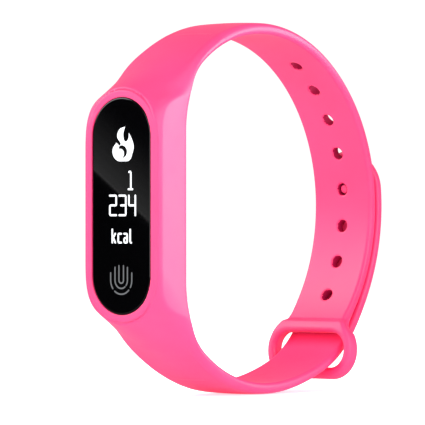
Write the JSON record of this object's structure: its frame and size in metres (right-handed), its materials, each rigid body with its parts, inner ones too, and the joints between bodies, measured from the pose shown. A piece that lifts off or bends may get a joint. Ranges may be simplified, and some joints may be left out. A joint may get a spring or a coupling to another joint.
{
  "type": "fitness tracker band",
  "caption": "Soft wrist strap with a row of holes, a keeper loop and a studded free tail, holding a clip-in pill-shaped tracker capsule with a display.",
  "frame": {"origin": "on the axis of the wrist opening, at the centre of the strap's round back", "axes": "+X along the wrist axis, -Y out of the display, +Z along the capsule towards the arm with the holes"},
  "size_m": [0.0204, 0.0682, 0.0692],
  "materials": {
    "silicone": "soft satin silicone, pink",
    "stud_plastic": "smooth pink plastic",
    "lens": "polished, printed black on the back",
    "tape": "thin adhesive tape",
    "display": "display glass",
    "flex": "amber film",
    "gold": "gold plated, polished",
    "housing": "fine satin, black",
    "seal": "soft gasket",
    "board": "solder mask",
    "chip": "moulded package",
    "ceramic": "ceramic",
    "cell_pouch": "laminated foil pouch",
    "lead": "insulated wire",
    "window": "polished dark window",
    "steel": "drawn steel",
    "weight": "sintered heavy alloy"
  },
  "bodies": {
    "band": {"strap": "silicone", "pocket_rib": "silicone"},
    "tail": {"strap_tail": "silicone", "clasp_stud": "stud_plastic", "stud_disc": "stud_plastic"},
    "capsule": {"front_lens": "lens", "lens_adhesive": "tape", "oled_display": "display", "display_flex": "flex", "touch_electrode": "gold", "front_frame": "housing", "case_seal": "seal", "rear_cover": "housing", "main_board": "board", "bluetooth_chip": "chip", "memory_chip": "chip", "power_chip": "chip", "motion_sensor": "chip", "crystal": "steel", "antenna": "ceramic", "battery_cell": "cell_pouch", "battery_tape": "tape", "battery_leads": "lead", "sensor_board": "board", "pulse_sensor": "chip", "sensor_window": "window", "charge_contacts": "gold", "motor_case": "steel", "motor_cover": "steel", "motor_shaft": "steel", "motor_leads": "lead"},
    "rotor": {"motor_rotor": "weight"}
  },
  "joints": [
    {"name": "tail_peel", "type": "hinge", "parent": "band", "child": "tail", "pos_m": [0, 0.02431, -0.02607], "axis": [-1, 0, 0], "range_deg": [0, 55], "stiffness_Nm_per_rad": 0.01},
    {"name": "capsule_release", "type": "slide", "parent": "band", "child": "capsule", "axis": [0, -1, 0], "range_m": [0, 0.014], "deforming": ["pocket_rib"]},
    {"name": "motor_spin", "type": "hinge", "parent": "capsule", "child": "rotor", "pos_m": [0, -0.0255, -0.013], "axis": [0, 1, 0], "continuous": true}
  ]
}
